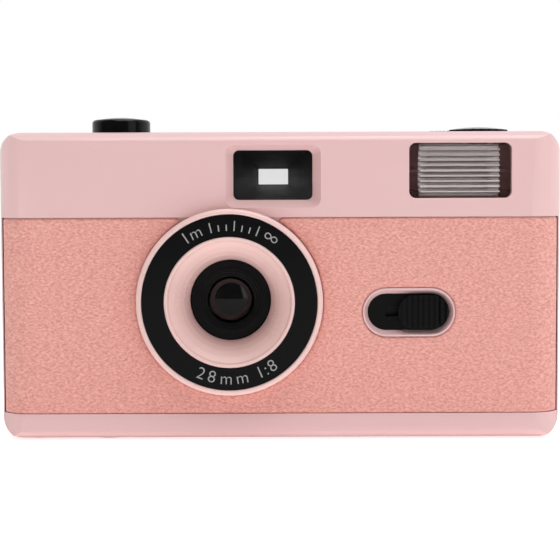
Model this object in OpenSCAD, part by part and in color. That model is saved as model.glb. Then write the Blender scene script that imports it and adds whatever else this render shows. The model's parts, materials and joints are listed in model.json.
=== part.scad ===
// Reusable 35 mm film camera with a built-in flash, as an assembly of its separate pieces.
// Millimetres. +X to the right seen from the front, +Y into the camera, +Z up.
// The origin is at the middle of the footprint, on the surface that the camera stands on.

/* [Body] */
// Width of the body
body_w = 119; // [118:0.5:120]
// Height of the body without its button
body_h = 64.5; // [64.5:0.5:66]
// Depth of the body without its lens ring
body_d = 30.4; // [30.4:0.2:31]
// Corner radius seen from the front
corner_r = 5.5; // [4:0.5:6]
// Radius of the upright front edges
plan_r = 7; // [5:0.5:7.5]
// Radius of the long front edges
edge_r = 3; // [2.5:0.5:3.5]
// Radius of the upright back edges
back_r = 4; // [3:0.5:4.5]
// Radius of the long back edges
back_edge_r = 2.5; // [2.4:0.1:2.6]
// Thickness of the casing
wall = 1.8; // [1.8:0.1:1.9]

/* [Leatherette] */
// Lower edge of the leatherette band
skin_low = 5.34; // [5:0.1:6]
// Upper edge of the leatherette band
skin_high = 46.63; // [46:0.1:47]
// Thickness of the leatherette
skin_t = 0.55; // [0.4:0.05:0.6]

/* [Lens] */
// Lens axis, left of the middle
lens_x = -10.6; // [-10.8:0.1:-10.4]
// Lens axis, above the base
lens_z = 28.95; // [28.9:0.05:29]
// Outer radius of the lens ring
ring_r = 19.5; // [19:0.1:19.6]
// How far the ring stands out of the body
ring_out = 3; // [2.5:0.1:3.2]
// Radius of the visible lens barrel
barrel_r = 8.5; // [8:0.1:8.6]

/* [Controls] */
// Radius of the shutter button
button_r = 6.27; // [6:0.01:6.3]
// Travel of the shutter button
button_travel = 1.5; // [1:0.1:1.5]
// Radius of the film advance wheel
wheel_r = 15.2; // [14.5:0.1:15.2]
// Radius of the rewind disc
disc_r = 6.8; // [6.5:0.1:7]
// Travel of the flash switch
switch_travel = 5.8; // [5:0.1:5.8]

/* [Hidden] */

// Colours of the mouldings and metals.
PINK = "#e6c3c3";
SKIN = "#e39c93";
BLACK = "#1b1b1c";
STEEL = "#b9babd";
CHROME = "#d8dadd";
CLEAR = "#dfe8ea";

// Planes of the body.
hw = body_w / 2;
yf = -body_d / 2;
yb = body_d / 2;
seam_y = 5;               // front and rear casing meet here
gap = 0.05;               // half the joint line between two casings
door_low = 2.35;
door_high = 51.85;
door_t = 1.7;             // thickness of the back door

// Film path: the film runs along film_y from the cassette to the take-up spool.
film_y = 10.2;
gate_w = 36;
gate_h = 24;
cassette = [43.1, 0.2];
cassette_r = 12.8;
chamber_t = 0.7;
takeup = [-41.6, 3.0];
takeup_r = 9.8;
sprocket_at = [-24.6, 4.15];
floor_z = 3.2;            // floor of the film chambers
roof_z = 51.2;            // roof of the take-up chamber
cassette_top = 48.3;      // roof of the cassette chamber
deck_z = 52.4;            // deck above the roof, which carries the mechanism
// The top front edge is an arc that runs into the top and meets the front at a soft crease.
crown_w = 3.4;
crown_r = 4;

plate_x = -10.5;          // middle of the pressure plate

// Hinge of the back door.
knuckle_r = 1.7;
hinge_at = [-hw + knuckle_r, 9.2];
pin_r = 0.75;
knuckle_z = [8, 46];      // the door's own knuckle lies between these

// Lens and shutter, from the front to the back.
ring_front = yf - ring_out;
barrel_front = -9.6;
flange_front = -6.2;
cover_front = -5.2;       // front of the shutter cover
board_front = -3.2;       // front of the lens board
board_back = -2.0;
blade_pivot = [-2.6, 41]; // x and z of the shutter blade's pin

// Viewfinder and flash.
finder_x = -1.49;
finder_z = 55.43;
flash_x = [27.12, 48.19];
flash_z = [50.64, 61.86];
flash_mid_z = (flash_z[0] + flash_z[1]) / 2;

// Flash switch.
switch_x = 26.95;
switch_z = 26.6;
knob_x = [24.73, 35.13];

// Top controls.
button_at = [-34.4, -2.0];
button_top = 68.1;
plate_z = [59.6, 60.2];   // mechanism plate
wheel_z = [53.2, 56.6];
counter_at = [-16.9, 3.0];
counter_r = 5.4;
window_at = [-16.9, -0.4];
disc_z = [64.1, 65.9];
lever_pin_at = [47.6, 65];
lever_z = [64.6, 65.05];
lever_tip = 32.6;
lever_pivot_x = -15.5;

// Battery compartment.
cell_at = [-5.5, 8.0];    // y and z of the cell's axis
cell_r = 5.15;
cell_x = [-28.9, 15.2];
flap_axis = [1.2, 0.95];  // y and z of the battery flap's pivot
rod_at = [-36.5, -9.8];   // rewind release rod
strap_at = [hw - 1.1, 8.7];
pawl_at = [-40.3, -10.2];

$fn = 64;

// ---- helpers: ranges are [low, high] pairs ----
module block(x, y, z) {
  translate([x[0], y[0], z[0]]) cube([x[1] - x[0], y[1] - y[0], z[1] - z[0]]);
}
module zrod(at, r, z) {
  translate([at[0], at[1], z[0]]) cylinder(r = r, h = z[1] - z[0]);
}
// at is [x, z]
module yrod(at, r, y) {
  translate([at[0], y[1], at[1]]) rotate([90, 0, 0]) cylinder(r = r, h = y[1] - y[0]);
}
// at is [y, z]
module xrod(at, r, x) {
  translate([x[0], at[0], at[1]]) rotate([0, 90, 0]) cylinder(r = r, h = x[1] - x[0]);
}
// A front-view outline, drawn in x and z, carried through y.
module through_y(y) {
  translate([0, y[1], 0]) rotate([90, 0, 0]) linear_extrude(height = y[1] - y[0]) children();
}
// A side-view outline, drawn in y and z, carried through x.
module through_x(x) {
  translate([x[0], 0, 0]) rotate([90, 0, 90]) linear_extrude(height = x[1] - x[0]) children();
}
// A plan outline carried through z.
module through_z(z) {
  translate([0, 0, z[0]]) linear_extrude(height = z[1] - z[0]) children();
}
// Rectangle with a radius at each corner: r = [low-low, high-low, high-high, low-high].
module rounded(u, v, r) {
  cu = [u[0], u[1], u[1], u[0]];
  cv = [v[0], v[0], v[1], v[1]];
  su = [1, -1, -1, 1];
  sv = [1, 1, -1, -1];
  difference() {
    translate([u[0], v[0]]) square([u[1] - u[0], v[1] - v[0]]);
    for (i = [0:3])
      if (r[i] > 0)
        difference() {
          translate([cu[i] + min(0, su[i]) * r[i] + (su[i] > 0 ? -1 : 0),
                     cv[i] + min(0, sv[i]) * r[i] + (sv[i] > 0 ? -1 : 0)])
            square(r[i] + 1);
          translate([cu[i] + su[i] * r[i], cv[i] + sv[i] * r[i]]) circle(r = r[i]);
        }
  }
}
module rounded_even(u, v, r) {
  rounded(u, v, [r, r, r, r]);
}
// Slot with round ends along x, centred at [x, z].
module stadium(at, w, h) {
  translate([at[0] - w / 2 + h / 2, at[1]]) circle(r = h / 2);
  translate([at[0] + w / 2 - h / 2, at[1]]) circle(r = h / 2);
  translate([at[0] - w / 2 + h / 2, at[1] - h / 2]) square([w - h, h]);
}
// The body's outside, moved inwards by g.
module envelope(g = 0) {
  intersection() {
    through_y([yf + g, yb - g]) rounded_even([-hw + g, hw - g], [g, body_h - g], corner_r - g);
    through_z([g - 1, body_h - g + 1])
      rounded([-hw + g, hw - g], [yf + g, yb - g],
              [plan_r - g, plan_r - g, back_r - g, back_r - g]);
    through_x([-hw + g - 1, hw - g + 1]) difference() {
      rounded([yf + g, yb - g], [g, body_h - g],
              [edge_r - g, back_edge_r - g, back_edge_r - g, 0]);
      difference() {
        translate([yf - 1, body_h - crown_r]) square([crown_w + 1, crown_r + 1]);
        translate([yf + crown_w, body_h - crown_r]) circle(r = crown_r - g);
      }
    }
  }
}
// Disc whose top is part of a sphere of radius big.
module crowned(at, r, z, big) {
  translate([at[0], at[1], 0]) rotate_extrude() intersection() {
    translate([0, z[0]]) square([r, z[1] - z[0]]);
    translate([0, z[1] - big]) circle(r = big, $fn = 720);
  }
}
// Open coil: wire of radius w on radius r, axis along z from z[0] to z[1].
function coil_point(r, w, z, turns, i, n, k, sides) =
  let (a = 360 * turns * i / n, b = 360 * k / sides,
       rise = (z[1] - z[0] - 2 * w) * i / n + z[0] + w)
  [(r + w * cos(b)) * cos(a), (r + w * cos(b)) * sin(a), rise + w * sin(b)];
module coil(r, w, z, turns, per_turn = 14, sides = 6) {
  n = round(turns * per_turn);
  points = [for (i = [0:n]) for (k = [0:sides - 1]) coil_point(r, w, z, turns, i, n, k, sides)];
  walls = [for (i = [0:n - 1]) for (k = [0:sides - 1])
    let (a = i * sides + k, b = i * sides + (k + 1) % sides) [b, b + sides, a + sides, a]];
  polyhedron(points = points, convexity = 10,
    faces = concat([[for (k = [sides - 1:-1:0]) k]], walls,
                   [[for (k = [0:sides - 1]) n * sides + k]]));
}

// ---- casing ----
module finder_funnel() {
  hull() {
    through_y([yf - 0.3, yf - 0.2]) rounded_even([-11.5, 8.7], [48.45, 61.8], 1.9, $fn = 32);
    through_y([yf + 2.3, yf + 2.4])
      rounded_even([finder_x - 8.32, finder_x + 8.32], [finder_z - 5.2, finder_z + 5.2], 1.2, $fn = 32);
  }
}
module switch_funnel() {
  hull() {
    through_y([yf - 0.3, yf - 0.2]) stadium([switch_x, switch_z], 18.9, 9.7, $fn = 32);
    through_y([yf + wall, yf + wall + 0.1]) stadium([switch_x, switch_z], 17.07, 7.62, $fn = 32);
  }
}
// Where the leatherette lies: a band round the front and the upright front edges.
module skin_band(out, depth, side) {
  difference() {
    intersection() {
      envelope(out);
      block([-side, side], [yf - 1, -6], [skin_low, skin_high]);
    }
    envelope(depth);
  }
}
module front_cover() color(PINK) difference() {
  union() {
    difference() {
      intersection() {
        envelope();
        block([-hw - 1, hw + 1], [yf - 1, seam_y - gap], [-1, body_h + 1]);
      }
      envelope(wall);
      difference() {
        skin_band(-0.5, skin_t + 0.05, hw - 0.7);
        through_y([yf - 1, yf + 3]) stadium([switch_x, switch_z], 19.33, 10.15);
      }
    }
    // frame that holds the finder's front lens
    block([-13, 10.2], [yf + 0.9, -11.4], [47.2, body_h - wall + 0.5]);
    // ears for the battery flap
    for (x = [[-22.6, -20.2], [6.2, 8.6]]) block(x, [0.45, 3.2], [0.15, wall]);
  }
  finder_funnel();
  through_y([yf - 1, -11])
    rounded_even([finder_x - 8.32, finder_x + 8.32], [finder_z - 5.2, finder_z + 5.2], 1.2);
  block([finder_x - 9, finder_x + 9], [-12.6, -11], [finder_z - 5.9, finder_z + 5.9]);
  through_y([yf - 1, yf + 3]) rounded_even([26.95, 48.35], [50.5, 62.0], 1.4);
  yrod([lens_x, lens_z], 16.2, [yf - 1, yf + 4]);
  switch_funnel();
  zrod(button_at, button_r + 0.18, [60, 66]);
  zrod(cassette, 3.3, [60, 66]);
  zrod(cassette, disc_r + 0.3, [disc_z[0] - 0.15, 66]);
  zrod([31.4, cassette[1]], 2.6, [63.7, 66]);
  zrod(window_at, 2.6, [60, 66]);
  zrod(rod_at, 2.35, [-1, 3]);
  // battery opening, leaving the two ears
  difference() {
    block([-31, 17], [-11.6, 2.6], [-1, 3]);
    for (x = [[-22.6, -20.2], [6.2, 8.6]]) block(x, [0.45, 3.2], [-2, 4]);
  }
  xrod(flap_axis, 0.56, [-23, 9]);
  for (at = bottom_screws) {
    zrod(at, 1.15, [-1, 3]);
    zrod(at, 2.1, [-1, 0.9]);
  }
}
module knuckle(z, bore) {
  difference() {
    zrod(hinge_at, knuckle_r, z);
    zrod(hinge_at, bore, [z[0] - 1, z[1] + 1]);
  }
}
module rear_cover() color(PINK) {
  difference() {
    union() {
      difference() {
        intersection() {
          envelope();
          block([-hw - 1, hw + 1], [seam_y + gap, yb + 1], [-1, body_h + 1]);
        }
        envelope(wall);
        block([-hw - 1, 0.01], [7, yb + 1], [door_low - 0.1, door_high + 0.1]);
        block([0, hw + 1], [9.3, yb + 1], [door_low - 0.1, door_high + 0.1]);
      }
      // webs that carry the hinge knuckles
      for (z = [[door_low, knuckle_z[0]], [knuckle_z[1], door_high]]) {
        block([-hw, hinge_at[0] + 0.9], [6, hinge_at[1]], z);
        zrod(hinge_at, knuckle_r, z);
      }
      // pocket for the wrist strap
      block([53.6, hw - 1], [5.3, 12.1], [53.3, 60.3]);
      // stop for the latch
      block([hw - 3.7, hw - 1], [6.8, 9.2], [41.2, 42.4]);
    }
    zrod(hinge_at, pin_r + 0.05, [door_low + 0.6, door_high + 0.02]);
    block([54.6, hw + 1], [6.2, 11.2], [54.2, 59.4]);
    zrod(strap_at, 0.77, [53.7, 59.9]);
    // latch track and slot
    block([hw - 0.9, hw + 1], [5.6, 8.9], [25.6, 39]);
    block([hw - wall - 1, hw], [6.6, 8.0], [33.0, 38.7]);
    zrod(cassette, disc_r + 0.3, [disc_z[0] - 0.15, 66]);
    // finder, advance wheel, ready lamp
    block([finder_x - 5.5, finder_x + 5.5], [10, yb + 1], [finder_z - 3.05, finder_z + 3.05]);
    block([-53.4, -29.8], [10, yb + 1], [52.9, 56.9]);
    yrod([12.5, 56], 1.5, [10, yb + 1]);
    for (at = back_screws) {
      yrod(at, 1.15, [10, yb + 1]);
      yrod(at, 2.1, [yb - 0.9, yb + 1]);
    }
  }
}
bottom_screws = [[-51.5, -9.5], [24.5, -6]];
back_screws = [[-21.5, 59.2], [19.5, 59.2]];
// Covering glued into the recess of the front casing.
module leatherette() color(SKIN) difference() {
  skin_band(0, skin_t, hw - 0.8);
  block([-hw, hw], [yf - 1, 0], [skin_low - 1, skin_low + 0.08]);
  block([-hw, hw], [yf - 1, 0], [skin_high - 0.08, skin_high + 1]);
  yrod([lens_x, lens_z], ring_r + 0.15, [yf - 1, yf + 3]);
  through_y([yf - 1, yf + 3]) stadium([switch_x, switch_z], 19.63, 10.45);
}

// ---- chassis: film chambers, dark box, lens board ----
module frustum(w0, h0, y0, w1, h1, y1) {
  hull() {
    block([lens_x - w0 / 2, lens_x + w0 / 2], [y0, y0 + 0.01], [lens_z - h0 / 2, lens_z + h0 / 2]);
    block([lens_x - w1 / 2, lens_x + w1 / 2], [y1 - 0.01, y1], [lens_z - h1 / 2, lens_z + h1 / 2]);
  }
}
module chassis() color(BLACK) difference() {
  intersection() {
    envelope(wall + 0.1);
    union() {
      // round walls of the two film chambers
      difference() {
        union() {
          zrod(cassette, cassette_r + chamber_t, [2, deck_z]);
          zrod(takeup, takeup_r + 1, [2, deck_z]);
        }
        block([-60, 60], [9, 20], [0, 60]);
      }
      // roof and floor over the chambers, lower where the finder passes
      block([-54.5, -11.8], [-8, 9], [roof_z, deck_z]);
      block([11, 56], [4, 9], [roof_z, deck_z]);
      block([-13, 11], [-2, 9], [47.6, 48.8]);
      block([-13, -11.8], [-2, 9], [47.6, deck_z]);
      block([9.8, 11], [-2, 9], [47.6, deck_z]);
      block([-54.5, 56], [1.4, 9], [2, floor_z]);
      // film plate with its rails
      difference() {
        block([-33, 31], [8.4, 9.4], [2, 51.2]);
        block([-11.8, 9.8], [8, 10], [48.8, 52]);
      }
      for (s = [-1, 1]) {
        block([-31, 29], [9.4, film_y], [lens_z + s * 12.9 - 0.4, lens_z + s * 12.9 + 0.4]);
        block([-31, 29], [9.4, film_y + 0.2], [lens_z + s * 18 - 0.4, lens_z + s * 18 + 0.4]);
      }
      // battery bay: two end walls and the back wall
      block([-32.2, -31.2], [-10.8, 1.4], [2, 13.6]);
      block([16.6, 17.6], [-10.8, 1.4], [2, 13.6]);
      block([-32.2, 17.6], [1.2, 2.2], [2, 14.2]);
      // deck strips that carry the flash and the button side
      block([11, 29.5], [2, 5], [50, deck_z]);
      // posts for the casing screws
      for (at = bottom_screws) zrod(at, 2.6, [2, 12]);
      block([-54, -48], [-12.4, -4], [2, 6]);
      block([17.2, 27], [-8.6, 1.6], [2, 4]);
      for (at = back_screws) {
        block([at[0] - 2.6, at[0] + 2.6], [8.75, 13.3], [at[1] - 2.6, at[1] + 2.6]);
        block([at[0] - 2.6, at[0] + 2.6], [8.75, 10.4], [roof_z, at[1]]);
      }
      // pads for the flash board
      for (z = [18, 46]) block([27.4, 31], [-9.4, -4], [z, z + 3]);
      // bridge over the rewind release button's spring
      block([-39.5, -33.5], [-12.6, -5], [8.6, 9.8]);
      block([-39.5, -38.3], [-12.6, -5], [2, 9.8]);
      // shelf for the pawl and the release rod's upper guide
      block([-44, -30], [-12.6, -6], [roof_z, deck_z]);
      block([-44, -42.8], [-12.6, -6], [roof_z - 4, deck_z]);
    }
  }
  zrod(cassette, cassette_r, [floor_z, cassette_top]);
  block([cassette[0] - cassette_r, cassette[0] + cassette_r], [cassette[1], 20],
        [floor_z, cassette_top]);
  // room for the flash over the cassette
  block([24, 51], [-16, -4.4], [cassette_top + 1.3, 60]);
  zrod(takeup, takeup_r, [floor_z, roof_z]);
  block([takeup[0] - takeup_r, takeup[0] + takeup_r], [takeup[1], 20], [floor_z, roof_z]);
  // picture gate
  block([lens_x - gate_w / 2, lens_x + gate_w / 2], [8.3, 12],
        [lens_z - gate_h / 2, lens_z + gate_h / 2]);
  // sprocket: room for its wheel, bearings and teeth
  zrod(sprocket_at, 7.4, [42.1, 44.1]);
  zrod(sprocket_at, 1.26, [roof_z - 1, deck_z + 1]);
  zrod(sprocket_at, 1.3, [44, 48.9]);
  // take-up, rewind and release shafts
  zrod(takeup, 2.3, [roof_z - 1, deck_z + 1]);
  zrod(takeup, 1.55, [1, floor_z + 1]);
  zrod(cassette, 4.1, [cassette_top - 1, deck_z + 1]);
  zrod(cassette, 4.4, [1, floor_z + 1]);
  zrod(rod_at, 3.4, [1, 8.6]);
  zrod(rod_at, 1.05, [8, 60]);
  zrod(pawl_at, 0.62, [roof_z - 3, deck_z + 1]);
  // screw holes
  for (at = bottom_screws) zrod(at, 0.9, [1, 9]);
  for (at = back_screws) yrod(at, 0.9, [9.8, 14]);
  for (z = board_screw_z) yrod([29.2, z], 0.62, [-10, -5]);
  // the finder tube's way through
  block([-11.8, 9.8], [-20, 20], [48.8, 60]);
}

// Light-tight box between the lens board and the gate.
module dark_box() color(BLACK) difference() {
  union() {
    frustum(gate_w + 2.4, gate_h + 2.4, 8.35, 14, 14, board_back - 0.5);
    block([-25, 3.8], [board_front, board_back], [14.5, 47.8]);
  }
  frustum(gate_w, gate_h, 8.36, 11.6, 11.6, board_back - 0.6);
  zrod(sprocket_at, 7.4, [42.1, 44.1]);
  zrod(sprocket_at, 1.5, [42, 49]);
  yrod([lens_x, lens_z], 5.5, [board_front - 1, board_back + 1]);
  for (at = [blade_pivot, striker_pivot]) yrod(at, 0.6, [board_front - 1, board_back + 0.2]);
  for (at = shutter_screw_at) yrod(at, 0.62, [board_front - 1, board_back + 1]);
}

// ---- lens and shutter ----
module about_lens() {
  translate([lens_x, 0, lens_z]) rotate([-90, 0, 0]) children();
}
// A profile of [radius, y] points turned round the lens axis.
module turned(points) {
  about_lens() rotate_extrude() polygon(points);
}
module lens_bezel() color(PINK) turned([
  [18.35, ring_front + 0.75], [18.35, ring_front + 0.3], [18.65, ring_front], [19.2, ring_front + 0.15],
  [ring_r, ring_front + 0.8], [ring_r, yf - 0.02], [16.1, yf - 0.02], [16.1, -13.4], [11.2, -13.4],
  [10.1, -12], [10.1, barrel_front + 0.5], [8.65, barrel_front + 0.5], [8.65, barrel_front],
  [9.05, -11.2], [9.9, -13.2], [11.2, -15.3], [12.6, -17], [13.2, ring_front],
  [13.6, ring_front + 0.2], [13.6, ring_front + 0.75]]);
module name_ring() color(BLACK) turned([
  [13.65, ring_front + 0.2], [18.3, ring_front + 0.2], [18.3, ring_front + 0.7], [13.65, ring_front + 0.7]]);
module lens_barrel() color(BLACK) turned([
  [6.6, barrel_front], [barrel_r, barrel_front], [barrel_r, flange_front], [11, flange_front],
  [11, cover_front - 0.05], [4.2, cover_front - 0.05], [4.2, -5.7], [5.0, -5.7], [5.0, -8.9],
  [5.6, -8.9], [5.9, -9.3]]);
module front_lens() color(CLEAR) intersection() {
  turned([[0, -10], [4.92, -10], [4.92, -7.8], [0, -7.8]]);
  translate([lens_x, -1.4, lens_z]) sphere(r = 8.6, $fn = 240);
}
// Holds the two lenses apart; its back wall is the fixed aperture.
module lens_spacer() color(BLACK)
  turned([[3.6, -7.75], [4.92, -7.75], [4.92, -7.05], [1.75, -7.05], [1.75, -7.2], [3.6, -7.2]]);
module rear_lens() color(CLEAR) intersection() {
  turned([[0, -7], [4.92, -7], [4.92, -5.75], [0, -5.75]]);
  translate([lens_x, -15, lens_z]) sphere(r = 9.25, $fn = 240);
}
shutter_screw_at = [[-22.8, 17.2], [1.2, 17.2]];
board_screw_z = [19.5, 47.5];
striker_pivot = [-17.5, 43.6];
module shutter_cover() color("#2b2b2d") difference() {
  union() {
    block([-24.6, 3.4], [cover_front, cover_front + 0.8], [15, 47.2]);
    difference() {
      block([-24.6, 3.4], [cover_front, board_front - 0.02], [15, 47.2]);
      block([-23.4, 2.2], [cover_front + 0.8, board_front], [19.4, 46]);
    }
    for (at = [blade_pivot, striker_pivot]) yrod(at, 0.5, [cover_front + 0.5, board_back - 0.1]);
  }
  yrod([lens_x, lens_z], 4.0, [cover_front - 1, board_front]);
  for (at = shutter_screw_at) yrod(at, 0.8, [cover_front - 1, board_front + 1]);
}
// Flat steel blade: a disc over the aperture, an arm and a tab.
module shutter_blade() color(STEEL) difference() {
  through_y([-3.6, -3.4]) union() {
    translate([lens_x, lens_z]) circle(r = 4.9);
    translate(blade_pivot) circle(r = 1.6);
    translate(blade_pivot) rotate(-123.6) translate([0, -1.4]) square([13, 2.8]);
    translate(blade_pivot) rotate(-123.6) translate([-4.4, -0.8]) square([4, 1.6]);
  }
  yrod(blade_pivot, 0.55, [-5, -3]);
}
module blade_spring() color(STEEL)
  translate([blade_pivot[0], 0, blade_pivot[1]]) rotate([-90, 0, 0])
    coil(0.85, 0.1, [cover_front + 0.85, -3.7], 1.5, 24, 8);
// Spring-driven lever that strikes the blade's tab.
module shutter_striker() color(STEEL) difference() {
  through_y([-4.3, -3.75]) union() {
    translate(striker_pivot) circle(r = 1.7);
    translate(striker_pivot) rotate(-4) translate([0, -0.9]) square([13.4, 1.8]);
    translate(striker_pivot) rotate(-140) translate([0, -0.8]) square([4.6, 1.6]);
  }
  yrod(striker_pivot, 0.55, [-5, -3]);
}

// ---- viewfinder ----
module finder_tube() color(BLACK) difference() {
  hull() {
    block([finder_x - 9.7, finder_x + 9.7], [-11.3, -11], [finder_z - 6.4, finder_z + 6.4]);
    block([finder_x - 6.6, finder_x + 6.6], [13, 13.3], [finder_z - 4.2, finder_z + 4.2]);
  }
  hull() {
    block([finder_x - 8.5, finder_x + 8.5], [-11.31, -11], [finder_z - 5.4, finder_z + 5.4]);
    block([finder_x - 4.6, finder_x + 4.6], [13, 13.31], [finder_z - 2.6, finder_z + 2.6]);
  }
}
module finder_front_lens() color(CLEAR) difference() {
  block([finder_x - 8.9, finder_x + 8.9], [-12.55, -11.4], [finder_z - 5.8, finder_z + 5.8]);
  translate([finder_x, 26.0, finder_z]) sphere(r = 38.2, $fn = 360);
}
module finder_eye_lens() color(CLEAR) intersection() {
  block([finder_x - 5.4, finder_x + 5.4], [13.35, 14.9], [finder_z - 2.95, finder_z + 2.95]);
  translate([finder_x, 13.35 + 32.05, finder_z]) sphere(r = 32, $fn = 360);
}
module eyepiece_frame() color(BLACK) difference() {
  through_y([yb + 0.02, yb + 1.4]) rounded_even([finder_x - 8, finder_x + 8], [52.2, 58.9], 1.4);
  hull() {
    block([finder_x - 4.4, finder_x + 4.4], [yb, yb + 0.1], [finder_z - 2.3, finder_z + 2.3]);
    block([finder_x - 5.6, finder_x + 5.6], [yb + 1.4, yb + 1.5], [finder_z - 2.7, finder_z + 2.9]);
  }
}

// ---- flash ----
rib_pitch = 1.1;
module flash_window() color(CLEAR) difference() {
  union() {
    through_y([-15.05, -13.5]) rounded_even(flash_x, flash_z, 1.2);
    block([flash_x[0] - 1, flash_x[1] + 1], [-13.35, -12.8], [flash_z[0] - 0.7, flash_z[1] - 0.4]);
    block([flash_x[0] + 0.3, flash_x[1] - 0.3], [-13.6, -13.3], [flash_z[0] + 0.3, flash_z[1] - 0.3]);
  }
  // prism ribs on the inside
  for (i = [-4:4])
    through_x([flash_x[0] + 2, flash_x[1] - 2])
      translate([-12.79, flash_mid_z + i * rib_pitch])
        polygon([[0.1, -0.5], [0.1, 0.5], [-0.8, 0]]);
}
module reflector_profile(g) {
  // a trough that is open to the front: y and z
  polygon([[-12.7, flash_mid_z - 5 - g], [-9, flash_mid_z - 4.6 - g], [-6.4, flash_mid_z - 3 - g],
           [-5.2 + g, flash_mid_z - 1.2], [-5.2 + g, flash_mid_z + 1.2], [-6.4, flash_mid_z + 3 + g],
           [-9, flash_mid_z + 4.6 + g], [-12.7, flash_mid_z + 5 + g]]);
}
module flash_reflector() color(CHROME) difference() {
  through_x([29, 46.3]) reflector_profile(0.4);
  through_x([29.5, 45.8]) reflector_profile(0);
  through_x([29.5, 45.8]) translate([-13, flash_mid_z - 5]) square([0.5, 10]);
  xrod([-7.2, flash_mid_z], 1.15, [28, 48]);
}
module xenon_tube() color(CLEAR) {
  xrod([-7.2, flash_mid_z], 1.05, [27.6, 47.7]);
  xrod([-7.2, flash_mid_z], 0.4, [26.4, 48.9]);
}
module flash_board() color("#2f5d3a") difference() {
  block([9.9, 31], [-10.6, -9.45], [16, 49.3]);
  for (z = board_screw_z) yrod([29.2, z], 0.8, [-12, -8]);
}
module flash_capacitor() color("#22262c") {
  zrod([19.5, -3.2], 5.4, [17.5, 43]);
  zrod([19.5, -3.2], 4.9, [43, 43.6]);
}
module flash_transformer() color("#8a6a2c") {
  block([11.2, 15.2], [-9.4, -4.4], [45.2, 46.3]);
  block([11.2, 15.2], [-9.4, -4.4], [49.0, 50.1]);
  zrod([13.2, -6.9], 1.9, [46.3, 49]);
}
module trigger_coil() color("#b3733a") {
  xrod([-6.2, 47.0], 1.9, [18.2, 23]);
  xrod([-6.2, 47.0], 2.5, [17.6, 18.2]);
  xrod([-6.2, 47.0], 2.5, [23, 23.6]);
}
module flash_switch_knob() color(BLACK) {
  difference() {
    through_y([yf - 0.1, -13.45])
      rounded_even(knob_x, [switch_z - 3.5, switch_z + 3.6], 3.3);
    for (i = [-4:4])
      block([29.93 + i * 1.15 - 0.22, 29.93 + i * 1.15 + 0.22], [yf - 1, yf + 0.45], [20, 33]);
  }
  block([28.4, 31.4], [-13.5, -11.3], [25.8, 27.4]);
}
module switch_guide() color(BLACK) difference() {
  block([16.8, 36.2], [-13.35, -12.75], [21.4, 31.8]);
  block([22.2, 31.8], [-14, -12], [25.6, 27.6]);
}
module switch_contact() color("#c9a24a") {
  block([26.6, 33.2], [-11.25, -11.0], [24.6, 28.6]);
  for (x = [27, 32]) block([x, x + 0.8], [-11.05, -10.7], [25, 28.2]);
}

// ---- battery ----
module battery() color("#4a4d52") {
  xrod(cell_at, cell_r, cell_x);
  xrod(cell_at, 1.9, [cell_x[1] - 0.1, cell_x[1] + 0.8]);
}
module battery_contact_plus() color(STEEL) {
  block([16.05, 16.4], [-9, -2], [4.2, 12]);
  block([16.05, 16.4], [-7, -4], [12, 15]);
}
module battery_contact_minus() color(STEEL) {
  block([-31.15, -30.85], [-9, -2], [4.2, 12]);
  translate([-30.9, cell_at[0], cell_at[1]]) rotate([0, 90, 0]) coil(2.6, 0.25, [0, 1.9], 2.5, 14, 6);
}
module battery_door() color(PINK) difference() {
  union() {
    difference() {
      through_z([0.15, 1.7]) rounded_even([-30.85, 16.85], [-11.45, 0.3], 0.8);
      for (x = [[-23, -19.8], [5.8, 9]]) block(x, [-0.4, 2], [-1, 3]);
    }
    block([-20, 6], [0, flap_axis[0]], [0.15, 1.7]);
    xrod(flap_axis, 0.8, [-20, 6]);
    xrod(flap_axis, 0.5, [-22.2, 8.2]);
  }
  // grip ribs
  for (i = [0:4]) block([-14, 0], [-10.6 + i * 0.9, -10.2 + i * 0.9], [-1, 0.45]);
}

// ---- shutter release ----
module shutter_button() color(BLACK) difference() {
  union() {
    zrod(button_at, 7.0, [61.9, 62.5]);
    crowned(button_at, button_r, [61.9, button_top], 26);
    zrod(button_at, 1.8, [59.45, 65.6]);
  }
  difference() {
    zrod(button_at, 4.6, [61, 65.5]);
    zrod(button_at, 1.8, [59, 66]);
  }
}
module button_spring() color(STEEL)
  translate([button_at[0], button_at[1], 0]) coil(3.2, 0.25, [plate_z[1] + 0.02, 65.4], 4, 14, 6);
module release_lever() color(STEEL) difference() {
  union() {
    block([-37.4, lever_pivot_x + 0.2], [-3.6, -1.6], [58.6, 59.35]);
    yrod([lever_pivot_x, 58.6], 0.95, [-3.6, -1.6]);
    block([-22.4, -21.6], [-3.6, -1.6], [56.9, 58.7]);
  }
  yrod([lever_pivot_x, 58.6], 0.45, [-5, 0]);
}
module mechanism_plate() color("#3a3b3e") {
  difference() {
    block([-40.6, -12.2], [-6, 8.6], plate_z);
    zrod(button_at, 2.0, [59, 61]);
    zrod(sprocket_at, 1.26, [59, 61]);
  }
  // posts down to the deck
  for (at = [[-13.2, 7.6], [-13.2, -4.9]]) zrod(at, 0.9, [deck_z, plate_z[0] + 0.1]);
  zrod([-24.4, -5], 0.9, [deck_z, plate_z[0] + 0.1]);
  // ears and pin for the release lever
  for (y = [[-4.4, -3.7], [-1.5, -0.8]])
    block([lever_pivot_x - 0.9, lever_pivot_x + 0.9], y, [57.8, plate_z[0] + 0.1]);
  yrod([lever_pivot_x, 58.6], 0.4, [-4, -1]);
  // pin for the counter disc
  zrod(counter_at, 0.85, [plate_z[1] - 0.1, 61.5]);
}

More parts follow.
